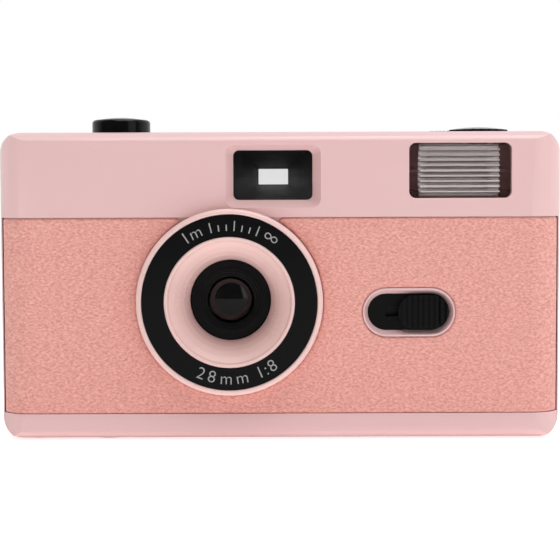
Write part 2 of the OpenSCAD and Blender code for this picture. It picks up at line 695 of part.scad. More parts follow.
// ---- film advance ----
knurls = 54;
module advance_wheel() color(BLACK) difference() {
  union() {
    zrod(takeup, wheel_r, wheel_z);
    // ratchet under the wheel
    through_z([wheel_z[0] - 0.6, wheel_z[0] + 0.1])
      translate(takeup) polygon(ratchet_points(30, 9.5, 10.3));
    zrod(takeup, 3.6, [wheel_z[1] - 0.1, wheel_z[1] + 0.4]);
  }
  for (i = [0:knurls - 1])
    translate([takeup[0], takeup[1], 0]) rotate(i * 360 / knurls)
      translate([wheel_r + 0.25, 0, wheel_z[0] - 1]) cylinder(r = 0.55, h = 6);
  zrod(takeup, 1.8, [wheel_z[0] - 1, wheel_z[0] + 1.8]);
}
function ratchet_points(n, low, high) =
  [for (i = [0:n - 1]) each [
    [low * cos(i * 360 / n), low * sin(i * 360 / n)],
    [high * cos((i + 0.9) * 360 / n), high * sin((i + 0.9) * 360 / n)]]];
module takeup_spool() color(BLACK) difference() {
  union() {
    zrod(takeup, 5.2, [floor_z + 0.5, roof_z - 0.3]);
    zrod(takeup, 8.6, [floor_z + 0.5, floor_z + 1.6]);
    zrod(takeup, 8.6, [roof_z - 1.3, roof_z - 0.3]);
    zrod(takeup, 2.24, [roof_z - 0.4, wheel_z[0] - 0.65]);
    zrod(takeup, 1.75, [roof_z, wheel_z[0] + 1.7]);
    zrod(takeup, 1.5, [2.1, floor_z + 1]);
    // catch tooth for the film's perforation
    block([takeup[0] + 4.8, takeup[0] + 6.2], [takeup[1] - 0.6, takeup[1] + 0.6], [16, 18]);
  }
  // slot for the film leader
  block([takeup[0] - 6, takeup[0] + 6], [takeup[1] + 2.2, takeup[1] + 3.4], [lens_z - 18, lens_z + 18]);
}
module ratchet_pawl() color(STEEL) {
  through_z([deck_z + 0.08, wheel_z[0] - 0.12]) {
    translate(pawl_at) circle(r = 1.5);
    translate(pawl_at) rotate(40) translate([0, -0.5]) square([6.5, 1]);
    translate(pawl_at) rotate(-24) translate([0, -0.5]) square([4, 1]);
  }
  zrod(pawl_at, 0.55, [deck_z - 3.4, deck_z + 0.2]);
}
module sprocket() color(BLACK) {
  difference() {
    union() {
      zrod(sprocket_at, 5.85, [42.3, 43.9]);
      // eight teeth, one perforation pitch apart
      for (i = [0:7])
        translate([sprocket_at[0], sprocket_at[1], 0]) rotate(90 + i * 45)
          translate([5.6, -0.8, 42.35]) cube([1.35, 1.6, 1.5]);
    }
    for (i = [0:3])
      translate([sprocket_at[0], sprocket_at[1], 0]) rotate(i * 90) translate([3.4, 0, 42])
        cylinder(r = 1.1, h = 3);
  }
  zrod(sprocket_at, 1.2, [42.3, 61.8]);
  // cam that cocks the shutter, and the finger that turns the counter
  zrod([sprocket_at[0] + 1.1, sprocket_at[1]], 2.6, [57.4, 58.4]);
  block([sprocket_at[0] + 0.4, sprocket_at[0] + 2.0], [sprocket_at[1] - 0.4, sprocket_at[1] + 0.4],
        [60.6, 61.3]);
}
counter_teeth = 40;
module counter_disc() color("#e9e7e2") difference() {
  union() {
    zrod(counter_at, counter_r - 0.5, [60.5, 61.3]);
    through_z([60.5, 60.9]) translate(counter_at)
      polygon(ratchet_points(counter_teeth, counter_r - 0.45, counter_r));
  }
  zrod(counter_at, 0.9, [60, 62]);
}
module counter_window() color(CLEAR) {
  zrod(window_at, 2.5, [62.8, 64.45]);
  zrod(window_at, 3.2, [62.1, 62.65]);
  zrod(window_at, 2.5, [62.5, 62.9]);
}

// ---- rewind ----
module rewind_fork() color(BLACK) {
  difference() {
    zrod(cassette, 3.9, [46.2, 50.8]);
    block([cassette[0] - 1.3, cassette[0] + 1.3], [cassette[1] - 5, cassette[1] + 5], [45, 49.4]);
    zrod(cassette, 2.6, [45, 49.4]);
  }
  zrod(cassette, 2.4, [50.7, disc_z[0]]);
  for (z = [[53.7, 53.95], [54.65, 54.9]]) zrod(cassette, 3.1, z);
}
// Snap ring that rises with the shaft and stays in its guide while the shaft turns.
module rewind_clip() color(STEEL) difference() {
  zrod(cassette, 3.5, [54, 54.6]);
  zrod(cassette, 2.46, [53, 55]);
  block([cassette[0] - 5, cassette[0] - 1], [cassette[1] - 1.6, cassette[1] + 1.6], [53, 55]);
}
module rewind_disc() color(BLACK) difference() {
  crowned(cassette, disc_r, disc_z, 36);
  block([30, 52], [cassette[1] - 2.5, cassette[1] + 2.5], [lever_z[0] - 0.1, 67]);
  yrod(lever_pin_at, 0.3, [cassette[1] - 3.8, cassette[1] + 3.8]);
  for (i = [0:23])
    translate([cassette[0], cassette[1], 0]) rotate(i * 15)
      translate([disc_r + 0.3, 0, 64]) cylinder(r = 0.5, h = 1.3);
}
module rewind_lever() color(BLACK) difference() {
  union() {
    block([lever_tip + 2.3, lever_pin_at[0]], [cassette[1] - 2.3, cassette[1] + 2.3], lever_z);
    zrod([lever_tip + 2.3, cassette[1]], 2.3, lever_z);
    yrod(lever_pin_at, 0.43, [cassette[1] - 2.3, cassette[1] + 2.3]);
    // the two pins it folds on
    yrod(lever_pin_at, 0.27, [cassette[1] - 3.6, cassette[1] + 3.6]);
  }
  for (i = [0:3])
    block([lever_tip + 0.9 + i * 0.8, lever_tip + 1.2 + i * 0.8], [-3, 4], [lever_z[1] - 0.15, 66]);
}
module rewind_button() color(BLACK) {
  zrod(rod_at, 2.2, [0.2, 2.0]);
  zrod(rod_at, 3.1, [1.95, 2.7]);
  zrod(rod_at, 0.9, [2.6, 51.9]);
}
module rewind_button_spring() color(STEEL)
  translate([rod_at[0], rod_at[1], 0]) coil(1.7, 0.2, [2.72, 8.58], 5, 12, 6);

// ---- back door ----
module back_door() color(PINK) {
  difference() {
    union() {
      difference() {
        intersection() {
          envelope();
          union() {
            block([-hw - 1, 0], [hinge_at[1], yb + 1], [door_low, door_high]);
            block([-0.01, hw + 1], [9.45, yb + 1], [door_low, door_high]);
          }
        }
        envelope(door_t);
      }
      zrod(hinge_at, knuckle_r, [knuckle_z[0] + 0.15, knuckle_z[1] - 0.15]);
      // light-trap ribs round the inside
      for (z = [[door_low + 0.5, door_low + 1.5], [door_high - 1.9, door_high - 0.9]])
        block([-52, 50], [12.4, yb - 1], z);
      // tongue and lip for the latch
      block([hw - 3.6, hw - 1.5], [9.6, 13.6], [25.8, 29.6]);
      block([hw - 3.6, hw - 2.05], [6.2, 9.7], [25.8, 29.6]);
      block([hw - 3.6, hw - 2.05], [6.2, 7.6], [29.5, 31.2]);
      // guide pins of the pressure plate
      for (s = [-1, 1]) yrod([plate_x, lens_z + s * 14.6], 0.6, [10.6, 13.7]);
    }
    // room for the casing's own knuckles
    for (z = [[0, knuckle_z[0] + 0.15], [knuckle_z[1] - 0.15, 60]])
      zrod(hinge_at, 3.3, z);
    zrod(hinge_at, pin_r + 0.08, [0, 60]);
    through_y([12, yb + 1]) rounded_even([40.6, 45.6], [18, 42], 1);
  }
}
module hinge_pin() color(STEEL) zrod(hinge_at, pin_r, [3.0, 51.8]);
module film_window() color("#39332f") {
  through_y([13.7, 15.0]) rounded_even([40.7, 45.5], [18.1, 41.9], 0.9);
  block([39.4, 46.8], [13.2, 13.48], [16.8, 43.2]);
  block([41, 45.2], [13.4, 13.8], [18.5, 41.5]);
}
module pressure_plate() color("#2a2b2d") difference() {
  through_y([10.5, 10.9]) rounded_even([plate_x - 21, plate_x + 21], [lens_z - 16.8, lens_z + 16.8], 1.5);
  // slots for the guide pins, and a notch for the sprocket's teeth
  for (s = [-1, 1])
    through_y([10, 12]) stadium([plate_x, lens_z + s * 14.6], 5, 1.4);
  block([sprocket_at[0] - 4.2, sprocket_at[0] + 4.2], [10, 12], [41.6, 44.6]);
}
// Bowed leaf: its middle is riveted to the door and its ends press on the plate.
module pressure_spring() color(STEEL) through_z([lens_z - 4, lens_z + 4]) difference() {
  intersection() {
    translate([plate_x, 13.45 - 50]) circle(r = 50, $fn = 360);
    translate([plate_x - 15.5, 10.95]) square([31, 3]);
  }
  translate([plate_x, 13.2 - 50]) circle(r = 50, $fn = 360);
}
module door_latch() color(BLACK) {
  difference() {
    block([hw - 0.8, hw], [5.8, 8.7], [26, 36]);
    for (i = [0:4]) block([hw - 0.3, hw + 1], [5, 9], [27.5 + i * 1.6, 28.1 + i * 1.6]);
  }
  block([hw - 2.1, hw - 0.7], [6.8, 7.8], [33.2, 35.8]);
  block([hw - 3.5, hw - 2.0], [6.8, 9.1], [33, 36]);
  block([hw - 3.5, hw - 2.0], [7.8, 9.1], [29.85, 33.1]);
}
module strap_bar() color(STEEL) zrod(strap_at, 0.75, [53.75, 59.85]);
module ready_lamp() color("#c9572f") {
  yrod([12.5, 56], 1.42, [13.0, 15.5]);
  yrod([12.5, 56], 2.0, [12.4, 13.2]);
}
module light_seals() color("#202022") {
  block([-54.9, -52.9], [12.1, 13.48], [4, 49.5]);
  block([52.3, 54.6], [12.1, 13.48], [4, 49.5]);
}

// ---- screws: identical ones share a node ----
module screw(head_r, head_h, shank_r, length) {
  difference() {
    cylinder(r = head_r, h = head_h);
    for (a = [0, 90]) rotate(a) translate([-head_r * 0.6, -0.2, -0.01]) cube([head_r * 1.2, 0.4, 0.45]);
  }
  translate([0, 0, head_h - 0.01]) cylinder(r = shank_r, h = length);
}
module case_screws() color(STEEL) {
  for (at = bottom_screws) translate([at[0], at[1], 0.12]) screw(1.9, 0.75, 0.88, 7.4);
  for (at = back_screws)
    translate([at[0], yb - 0.12, at[1]]) rotate([90, 0, 0]) screw(1.9, 0.75, 0.88, 4.2);
}
module small_screws() color(STEEL) {
  for (at = shutter_screw_at)
    translate([at[0], cover_front - 0.62, at[1]]) rotate([-90, 0, 0]) screw(1.3, 0.6, 0.6, 2.9);
  for (z = board_screw_z)
    translate([29.2, -11.2, z]) rotate([-90, 0, 0]) screw(1.3, 0.58, 0.6, 4.5);
}

front_cover();
rear_cover();
chassis();
dark_box();
leatherette();
lens_bezel();
name_ring();
lens_barrel();
front_lens();
lens_spacer();
rear_lens();
shutter_cover();
shutter_blade();
blade_spring();
shutter_striker();
finder_tube();
finder_front_lens();
finder_eye_lens();
eyepiece_frame();
flash_window();
flash_reflector();
xenon_tube();
flash_board();
flash_capacitor();
flash_transformer();
trigger_coil();
flash_switch_knob();
switch_guide();
switch_contact();
battery();
battery_contact_plus();
battery_contact_minus();
battery_door();
shutter_button();
button_spring();
release_lever();
mechanism_plate();
advance_wheel();
takeup_spool();
ratchet_pawl();
sprocket();
counter_disc();
counter_window();
rewind_fork();
rewind_clip();
rewind_disc();
rewind_lever();
rewind_button();
rewind_button_spring();
back_door();
hinge_pin();
film_window();
pressure_plate();
pressure_spring();
door_latch();
strap_bar();
ready_lamp();
light_seals();
case_screws();
small_screws();
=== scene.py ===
"""Looks of a compact film camera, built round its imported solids. Metres; shapes are drawn in millimetres."""

import json
import math

import bmesh
import bpy
from mathutils import Matrix, Vector, noise


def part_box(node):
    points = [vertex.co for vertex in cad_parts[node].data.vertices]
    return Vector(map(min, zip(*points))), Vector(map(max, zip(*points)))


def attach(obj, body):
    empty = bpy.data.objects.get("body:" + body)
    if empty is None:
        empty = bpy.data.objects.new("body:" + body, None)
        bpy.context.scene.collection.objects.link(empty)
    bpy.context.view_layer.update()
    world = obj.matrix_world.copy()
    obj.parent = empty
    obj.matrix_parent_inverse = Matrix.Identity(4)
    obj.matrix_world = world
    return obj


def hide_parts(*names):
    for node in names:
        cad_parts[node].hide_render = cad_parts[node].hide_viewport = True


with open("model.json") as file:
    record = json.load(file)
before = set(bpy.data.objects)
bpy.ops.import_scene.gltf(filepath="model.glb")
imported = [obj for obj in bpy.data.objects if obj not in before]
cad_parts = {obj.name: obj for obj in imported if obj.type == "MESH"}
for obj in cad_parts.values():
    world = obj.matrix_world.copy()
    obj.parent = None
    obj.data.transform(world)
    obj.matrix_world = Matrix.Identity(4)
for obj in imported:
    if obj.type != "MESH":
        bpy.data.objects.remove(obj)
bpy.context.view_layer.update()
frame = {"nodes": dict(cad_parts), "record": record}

MM = 0.001
X, Y, Z = Vector((1, 0, 0)), Vector((0, 1, 0)), Vector((0, 0, 1))
# For each axis of turning: the direction in which a radius is drawn, then the axis itself.
AXES = {"x": (Y, X), "y": (X, Y), "z": (X, Z)}
BODIES = frame["record"]["behaviour"]["bodies"]
BODY_OF = {node: body for body, nodes in BODIES.items() for node in nodes}


def low_high(node):
    """The lowest and highest corner of a solid, in millimetres."""
    low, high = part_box(node)
    return low / MM, high / MM


# ---- materials ----
def linear(code):
    """An sRGB hex colour as opaque linear RGBA."""
    parts = [int(code[i : i + 2], 16) / 255 for i in (1, 3, 5)]
    return [c / 12.92 if c <= 0.04045 else ((c + 0.055) / 1.055) ** 2.4 for c in parts] + [1.0]


def add(tree, kind, values=(), links=(), **options):
    """Adds a shader node with its options, its socket values and its links."""
    node = tree.nodes.new("ShaderNode" + kind)
    for name, value in options.items():
        setattr(node, name, value)
    for socket, value in dict(values).items():
        node.inputs[socket].default_value = value
    for socket, source in dict(links).items():
        tree.links.new(source, node.inputs[socket])
    return node


def moulded(name, base, tint, rough, grain, depth, patch, stretch=(1, 1, 1), **shader):
    """A finish with slow colour drift over `patch` mm and a surface grain of `grain` mm, `depth` mm deep."""
    made = bpy.data.materials.new(name)
    made.use_nodes = True
    tree = made.node_tree
    surface = tree.nodes["Principled BSDF"]
    where = add(tree, "TexCoord").outputs["Object"]
    place = add(tree, "Mapping", {"Scale": stretch}, {"Vector": where}).outputs["Vector"]
    drift = add(
        tree, "TexNoise", {"Scale": 1000 / patch, "Detail": 3.0, "Roughness": 0.55}, {"Vector": where}
    )
    fine = add(
        tree, "TexNoise", {"Scale": 1000 / grain, "Detail": 2.0, "Roughness": 0.6}, {"Vector": place}
    )
    colour = add(
        tree, "MixRGB", {"Color1": linear(base), "Color2": linear(tint)}, {"Fac": drift.outputs["Fac"]}
    )
    mixed = add(tree, "Math", {}, {0: drift.outputs["Fac"], 1: fine.outputs["Fac"]}, operation="MULTIPLY")
    gloss = add(
        tree, "MapRange", {"From Min": 0.1, "From Max": 0.4, "To Min": rough[0], "To Max": rough[1]},
        {"Value": mixed.outputs["Value"]},
    )
    bump = add(tree, "Bump", {"Strength": 1.0, "Distance": depth * MM}, {"Height": fine.outputs["Fac"]})
    tree.links.new(colour.outputs["Color"], surface.inputs["Base Color"])
    tree.links.new(gloss.outputs["Result"], surface.inputs["Roughness"])
    tree.links.new(bump.outputs["Normal"], surface.inputs["Normal"])
    for socket, value in shader.items():
        surface.inputs[socket.replace("_", " ")].default_value = value
    return made


# Gloss-moulded ABS: an even pale pink with soft, broad highlights and a faint orange peel.
PINK_ABS = moulded(
    "moulded_abs_pale_pink", "#ecc5c4", "#ebc3c2", (0.28, 0.32), 1.6, 0.001, 30.0,
    Coat_Weight=0.15, Coat_Roughness=0.2,
)
# The same ABS, painted a little lighter than the casing as a painted highlight for the ring's rounded rim, and
# a little sharper in its gloss.
PINK_RING_PAINTED_LIGHTER = moulded("pale_pink_abs_painted_lighter", "#f2cfca", "#f0cbc6", (0.2, 0.28), 0.5, 0.002, 12.0)
# Gloss black ABS: nearly black, with a sharp highlight that shows small mould waves.
BLACK_ABS = moulded(
    "moulded_abs_black", "#0d0d0e", "#111112", (0.1, 0.18), 1.2, 0.002, 9.0, Specular_IOR_Level=0.2
)
# Spark-eroded black ABS: a fine even grain that scatters the light.
BLACK_GRAIN = moulded(
    "grained_abs_black", "#0d0d0e", "#121213", (0.3, 0.44), 0.35, 0.006, 9.0, Specular_IOR_Level=0.22
)
# Light-tight black polycarbonate of the inner frame: matt, so that no stray light reaches the film.
BLACK_PC = moulded(
    "matt_polycarbonate_black", "#0a0a0b", "#0e0e10", (0.5, 0.66), 0.3, 0.01, 8.0, Specular_IOR_Level=0.12
)
# Zinc-plated steel: bright with the direction of the rolled sheet.
ZINC = moulded(
    "zinc_plated_steel", "#b8b9bb", "#a6a7ab", (0.26, 0.42), 0.25, 0.004, 5.0, (1, 6, 1), Metallic=1.0
)
# Drawn spring wire: a little darker and smoother than the plated sheet.
SPRING = moulded(
    "drawn_spring_steel", "#a9abae", "#8f9196", (0.2, 0.34), 0.12, 0.002, 2.0, (1, 1, 5), Metallic=1.0
)
# Black enamel baked on steel: a smooth, slightly soft sheen.
ENAMEL = moulded("black_baked_enamel", "#1d1e20", "#252628", (0.3, 0.42), 0.8, 0.006, 6.0)
# Glass-fibre board under a dark solder mask.
BOARD = moulded("solder_masked_board", "#0f1a14", "#14221a", (0.28, 0.4), 0.5, 0.01, 4.0)
# Heat-shrunk sleeve of the capacitor: dark blue-grey, with soft ripples.
SLEEVE = moulded("heat_shrunk_sleeve", "#1c2430", "#242e3c", (0.3, 0.45), 0.9, 0.01, 5.0)
# Metallised film round the cell, with no print on it.
CELL = moulded("plain_cell_sleeve", "#3b3f45", "#474c53", (0.22, 0.34), 0.8, 0.004, 10.0, Metallic=0.6)
# Ferrite core wound with brown-yellow tape.
FERRITE = moulded("taped_ferrite", "#9c7838", "#86642c", (0.4, 0.6), 0.6, 0.02, 3.0)
# Lacquered copper wire, wound in fine turns.
COPPER = moulded(
    "lacquered_copper_wire", "#b96f3c", "#a35c2d", (0.2, 0.35), 0.2, 0.02, 2.0, (8, 1, 1), Metallic=1.0
)
# Rolled brass strip of the switch contact.
BRASS = moulded("rolled_brass", "#c3a24f", "#ad8b3d", (0.25, 0.4), 0.3, 0.004, 3.0, (1, 5, 1), Metallic=1.0)
# Ivory ABS of the film counter's dial, matt so that it reads easily.
DIAL = moulded("ivory_abs_dial", "#e8e4da", "#ded9cd", (0.4, 0.5), 0.4, 0.004, 4.0)
# Smoked acrylic of the film window: dark brown and highly polished.
SMOKED = moulded("smoked_acrylic", "#2c2622", "#39302a", (0.08, 0.14), 2.0, 0.002, 8.0, Coat_Weight=0.5)
# Amber styrene cap of the ready lamp, which lets some light in.
AMBER = moulded("amber_styrene", "#d0642a", "#b94f1f", (0.14, 0.24), 1.0, 0.004, 2.0, Transmission_Weight=0.3)
# Open-cell foam of the light seals: dull and porous.
FOAM = moulded("open_cell_foam", "#1b1b1c", "#262628", (0.85, 0.97), 0.4, 0.12, 3.0)
RIB_PITCH = 1.1  # from rib to rib of the flash window and of the reflector's painted highlight lines, mm
WAVE_LENGTH = 0.314  # a wave of scale 1 repeats after this many metres


def metallised():
    """Vacuum-metallised styrene, drawn mostly diffuse: its colour is painted bright in lines along the ribs
    and dark between them, as painted highlight and painted shade.
    """
    made = moulded(
        "reflector_painted_rib_highlights", "#ffffff", "#fbfaf8", (0.14, 0.2), 1.5, 0.001, 5.0, Metallic=0.2
    )
    tree = made.node_tree
    surface = tree.nodes["Principled BSDF"]
    where = add(tree, "TexCoord").outputs["Object"]
    ribs = add(
        tree, "TexWave", {"Scale": WAVE_LENGTH / (RIB_PITCH * MM), "Distortion": 0.25, "Detail": 1.0},
        {"Vector": where}, bands_direction="Z",
    )
    # Finer painted highlight lines run between the crests, at a little under half their pitch.
    thin = add(
        tree, "TexWave", {"Scale": WAVE_LENGTH / (0.43 * RIB_PITCH * MM), "Distortion": 0.6},
        {"Vector": where}, bands_direction="Z",
    )
    # Bright bands at the rib pitch and dark ones between: painted highlight and painted shade in the base
    # colour.
    painted_crest_highlight = add(
        tree, "MapRange", {"From Min": 0.25, "From Max": 0.95, "To Min": 0.0, "To Max": 0.8},
        {"Value": ribs.outputs["Fac"]},
    )
    bright = add(
        tree, "Math", {1: 0.3}, {0: thin.outputs["Fac"], 2: painted_crest_highlight.outputs["Result"]}, operation="MULTIPLY_ADD"
    )
    painted_rib_light = add(
        tree, "MixRGB", {"Color1": linear("#86868a"), "Color2": linear("#fffefb")},
        {"Fac": bright.outputs["Value"]},
    )
    tree.links.new(painted_rib_light.outputs["Color"], surface.inputs["Base Color"])
    return made


MIRROR = metallised()
# Screen-printed light grey lacquer of the lens ring's figures.
PRINT = moulded("light_grey_print", "#a4a4a5", "#9a9a9b", (0.4, 0.5), 0.2, 0.004, 2.0)
# Moulded acrylic, clear, IOR 1.49.
ACRYLIC = moulded(
    "clear_acrylic", "#ffffff", "#fcfdfd", (0.01, 0.03), 3.0, 0.0006, 10.0, Transmission_Weight=1.0, IOR=1.49
)
# The taking lens: the same acrylic, hard-polished and toned a neutral grey.
LENS = moulded(
    "polished_acrylic_lens", "#5f6163", "#5a5c5e", (0.01, 0.02), 3.0, 0.0002, 6.0,
    Transmission_Weight=1.0, IOR=1.49,
)
# The flash window is a thin acrylic pane which lets light straight through; its faint brown-red diffuse colour
# is painted shade, giving the dark housing behind it the colour of pink walls in shadow.
WINDOW = moulded(
    "thin_acrylic_painted_shade_tint", "#845f5e", "#7e5a59", (0.06, 0.12), 2.0, 0.001, 6.0, Alpha=0.1, IOR=1.49
)
# The eye lens is so weak, and so near the eyepiece, that light goes straight through; only its polish shows.
FINDER = moulded(
    "polished_finder_acrylic", "#202224", "#1c1e20", (0.01, 0.03), 3.0, 0.0004, 8.0, Alpha=0.06, IOR=1.49
)
# The prisms moulded on the window's inner face, drawn near-white and mostly opaque: a painted highlight for
# the bright lines of light they gather, besides the real glints their slant catches.
PRISM_PAINTED_WHITE = moulded(
    "acrylic_prism_painted_highlight", "#f2f1ee", "#e6e4e1", (0.12, 0.2), 1.4, 0.004, 3.0, Alpha=0.78, IOR=1.49
)


def leatherette():
    """Embossed PVC: salmon pink, with fine slanting wrinkles whose raised parts are painted lighter as a
    painted highlight, and a soft sheen.
    """
    made = bpy.data.materials.new("embossed_pvc_leatherette")
    made.use_nodes = True
    tree = made.node_tree
    surface = tree.nodes["Principled BSDF"]
    where = add(tree, "TexCoord").outputs["Object"]
    # The emboss runs in short slanting wrinkles, under 1 mm long and half as wide.
    slant = add(
        tree, "Mapping", {"Rotation": (0, math.radians(-38), 0), "Scale": (1.0, 1.0, 1.8)}, {"Vector": where}
    )
    wrinkle = add(
        tree, "TexNoise", {"Scale": 1000 / 0.72, "Detail": 3.0, "Roughness": 0.6, "Distortion": 0.5},
        {"Vector": slant.outputs["Vector"]},
    )
    drift = add(tree, "TexNoise", {"Scale": 1000 / 16, "Detail": 4.0, "Roughness": 0.6}, {"Vector": where})
    pores = add(tree, "TexNoise", {"Scale": 1000 / 0.35, "Detail": 2.0, "Roughness": 0.6}, {"Vector": where})
    # Where the wrinkles rise, the colour is painted lighter: a painted highlight.
    painted_wrinkle_highlight = add(
        tree, "MapRange", {"From Min": 0.36, "From Max": 0.66, "To Min": 0.0, "To Max": 1.0},
        {"Value": wrinkle.outputs["Fac"]},
    )
    low = add(
        tree, "MixRGB", {"Color1": linear("#dd9086"), "Color2": linear("#e0968c")},
        {"Fac": drift.outputs["Fac"]},
    )
    shade = add(
        tree, "MixRGB", {"Color2": linear("#fcbbaf")},
        {"Fac": painted_wrinkle_highlight.outputs["Result"], "Color1": low.outputs["Color"]},
    )
    height = add(
        tree, "Math", {1: 0.3}, {0: pores.outputs["Fac"], 2: wrinkle.outputs["Fac"]}, operation="MULTIPLY_ADD"
    )
    bump = add(tree, "Bump", {"Strength": 1.0, "Distance": 0.2 * MM}, {"Height": height.outputs["Value"]})
    gloss = add(
        tree, "MapRange", {"From Min": 0.3, "From Max": 0.7, "To Min": 0.46, "To Max": 0.62},
        {"Value": pores.outputs["Fac"]},
    )
    tree.links.new(shade.outputs["Color"], surface.inputs["Base Color"])
    tree.links.new(gloss.outputs["Result"], surface.inputs["Roughness"])
    tree.links.new(bump.outputs["Normal"], surface.inputs["Normal"])
    surface.inputs["Sheen Weight"].default_value = 0.08
    return made


SKIN = leatherette()
SHARP_ANGLE = 32  # an edge between faces that meet at more than this gets its radius, degrees


# ---- making pieces ----
def shown(name, bm, finish, *stands_for, scale=MM, smooth=32, body=None, bevel=0.0, segments=2):
    """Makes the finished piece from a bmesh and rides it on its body."""
    bmesh.ops.transform(bm, matrix=Matrix.Scale(scale, 4), verts=bm.verts)
    mesh = bpy.data.meshes.new(name)
    bm.to_mesh(mesh)
    bm.free()
    mesh.shade_smooth()
    mesh.set_sharp_from_angle(angle=math.radians(smooth))
    mesh.materials.append(finish)
    piece = bpy.data.objects.new(name, mesh)
    bpy.context.scene.collection.objects.link(piece)
    if bevel:
        edge = piece.modifiers.new("soft edge", "BEVEL")
        edge.width = bevel * MM
        edge.segments = segments
        edge.limit_method = "ANGLE"
        edge.angle_limit = math.radians(SHARP_ANGLE)
        edge.harden_normals = True
    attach(piece, body or BODY_OF[stands_for[0]])
    if stands_for:
        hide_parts(*stands_for)
    return piece


def refined(node, finish, bevel):
    """A solid's own shape with merged faces and small real radii on its edges."""
    bm = bmesh.new()
    bm.from_mesh(frame["nodes"][node].data)
    bmesh.ops.remove_doubles(bm, verts=bm.verts, dist=0.002 * MM)
    bmesh.ops.dissolve_limit(bm, angle_limit=math.radians(0.8), verts=bm.verts, edges=bm.edges)
    shown(node + "_finished", bm, finish, node, scale=1.0, bevel=bevel)


def turned(profile, centre, axis, steps=128, closed=True):
    """Spins (radius, along) points round an axis through centre."""
    side, up = AXES[axis]
    bm = bmesh.new()
    corners = [bm.verts.new(centre + side * r + up * (a - centre.dot(up))) for r, a in profile]
    edges = [bm.edges.new(pair) for pair in zip(corners, corners[1:])]
    if closed:
        edges.append(bm.edges.new((corners[-1], corners[0])))
    bmesh.ops.spin(bm, geom=corners + edges, cent=centre, axis=up, angle=math.tau, steps=steps, use_merge=True)
    bmesh.ops.remove_doubles(bm, verts=bm.verts, dist=0.0005)
    bmesh.ops.recalc_face_normals(bm, faces=bm.faces)
    return bm


def merge(bm, other):
    """Adds another bmesh's geometry to bm."""
    carrier = bpy.data.meshes.new("part")
    other.to_mesh(carrier)
    other.free()
    bm.from_mesh(carrier)
    bpy.data.meshes.remove(carrier)


def arc(centre, radius, start, end, count):
    """Points of an arc in a profile, angles in degrees from the radial direction."""
    steps = [math.radians(start + (end - start) * i / count) for i in range(count + 1)]
    return [(centre[0] + radius * math.cos(a), centre[1] + radius * math.sin(a)) for a in steps]


def boxed(bm, low, high):
    """Adds a box between two corners."""
    size = Vector(high) - Vector(low)
    place = Matrix.Translation((Vector(high) + Vector(low)) / 2) @ Matrix.Diagonal((*size, 1))
    return bmesh.ops.create_cube(bm, size=1, matrix=place)["verts"]


# ---- places taken from the solids, mm ----
shell_low, shell_high = low_high("front_cover")
FRONT = shell_low.y
ring_low, ring_high = low_high("lens_bezel")
LENS_AT = (ring_low + ring_high) / 2
RING_R = (ring_high.x - ring_low.x) / 2
RING_FRONT = ring_low.y
LENS_AXIS = Vector((LENS_AT.x, 0, LENS_AT.z))
barrel_low, barrel_high = low_high("lens_barrel")
BARREL_FRONT = barrel_low.y
skin_low, skin_high = low_high("leatherette")

# ---- leatherette: a sheet that follows the front and the two upright edges ----
PLAN_R = 7.0  # radius of the casing's upright edges
FLAT = shell_high.x - PLAN_R  # half width of the flat front
REACH = FLAT + PLAN_R * math.asin(min(1, (skin_high.x - FLAT) / PLAN_R))  # half width along the surface
SKIN_STEP = 0.42  # side of the sheet's squares
SKIN_MARGIN = 0.3  # the sheet starts this much larger than its outline
SKIN_TUCK = 0.5  # its cut edges go this far into the casing
SLOT_WIDTH, SLOT_HEIGHT = 19.6, 10.4  # the opening round the flash switch
SLOT_X = low_high("flash_switch_knob")[1].x - 8.18  # its middle, measured from the knob's right end
SLOT_Z = 26.6


def outside_slot(x, z):
    """Distance outside the switch's opening, which has round ends."""
    reach = max(abs(x - SLOT_X) - (SLOT_WIDTH - SLOT_HEIGHT) / 2, 0)
    return math.hypot(reach, z - SLOT_Z) - SLOT_HEIGHT / 2


def both(a, b, radius):
    """Meets two distances inside their common region with a rounded corner."""
    if a < radius and b < radius:
        return radius - math.hypot(radius - a, radius - b)
    return min(a, b)


def skin_inside(u, z):
    """How far (u, z) lies inside the sheet's outline: negative outside it."""
    side = both(REACH - abs(u), both(skin_high.z - 0.1 - z, z - skin_low.z, 0.1), 0.35)
    lens = math.hypot(u - LENS_AT.x, z - LENS_AT.z) - RING_R - 0.12
    return min(both(side, lens, 1.5), outside_slot(u, z))


def skin_place(u, z, out):
    """The sheet's point at arc length u and height z, out mm proud of the casing."""
    if abs(u) <= FLAT:
        return Vector((u, FRONT - out, z))
    turn = (abs(u) - FLAT) / PLAN_R
    radius = PLAN_R + out
    x = math.copysign(FLAT + radius * math.sin(turn), u)
    return Vector((x, FRONT + PLAN_R - radius * math.cos(turn), z))


def emboss(u, z):
    """Height of the sheet's face: slanting wrinkles, a slow wave and a rounded cut edge."""
    along, across = u * 0.62 + z * 0.78, (z * 0.62 - u * 0.78) * 1.8
    wrinkle = noise.fractal(Vector((along / 1.2, across / 1.2, 4.0)), 1.0, 2.2, 2)
    wave = noise.noise(Vector((u * 0.16, z * 0.16, 9.0)))
    edge = max(0.0, 1 - skin_inside(u, z) / 0.5)
    return -0.04 + 0.022 * wrinkle + 0.03 * wave - 0.26 * edge * edge


